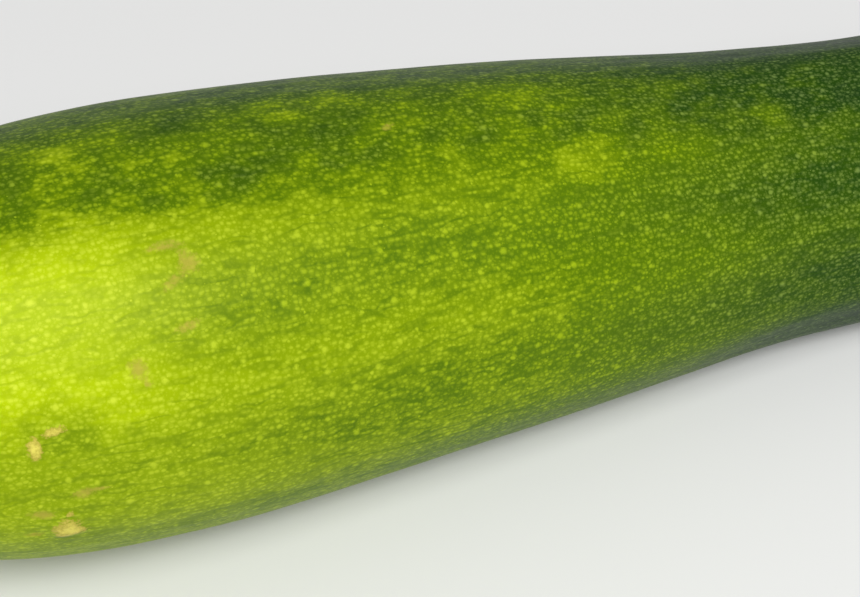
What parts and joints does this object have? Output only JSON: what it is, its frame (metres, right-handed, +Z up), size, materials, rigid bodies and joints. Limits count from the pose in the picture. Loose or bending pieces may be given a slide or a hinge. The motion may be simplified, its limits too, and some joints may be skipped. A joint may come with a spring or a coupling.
{
  "type": "courgette",
  "caption": "Whole courgette lying on its side, with a rounded blossom end, a slimmer ribbed neck and a short cut stalk.",
  "frame": {"origin": "on the resting surface, under the middle of the whole courgette's box", "axes": "+X along the fruit towards the stalk, +Y away from the pictured side, +Z up"},
  "size_m": [0.2172, 0.0574, 0.0582],
  "materials": {
    "skin": "semi-gloss waxy green skin with pale flecks",
    "stalk": "matt fibrous green stalk"
  },
  "bodies": {
    "root": {"fruit": "skin", "stalk": "stalk"}
  },
  "joints": []
}
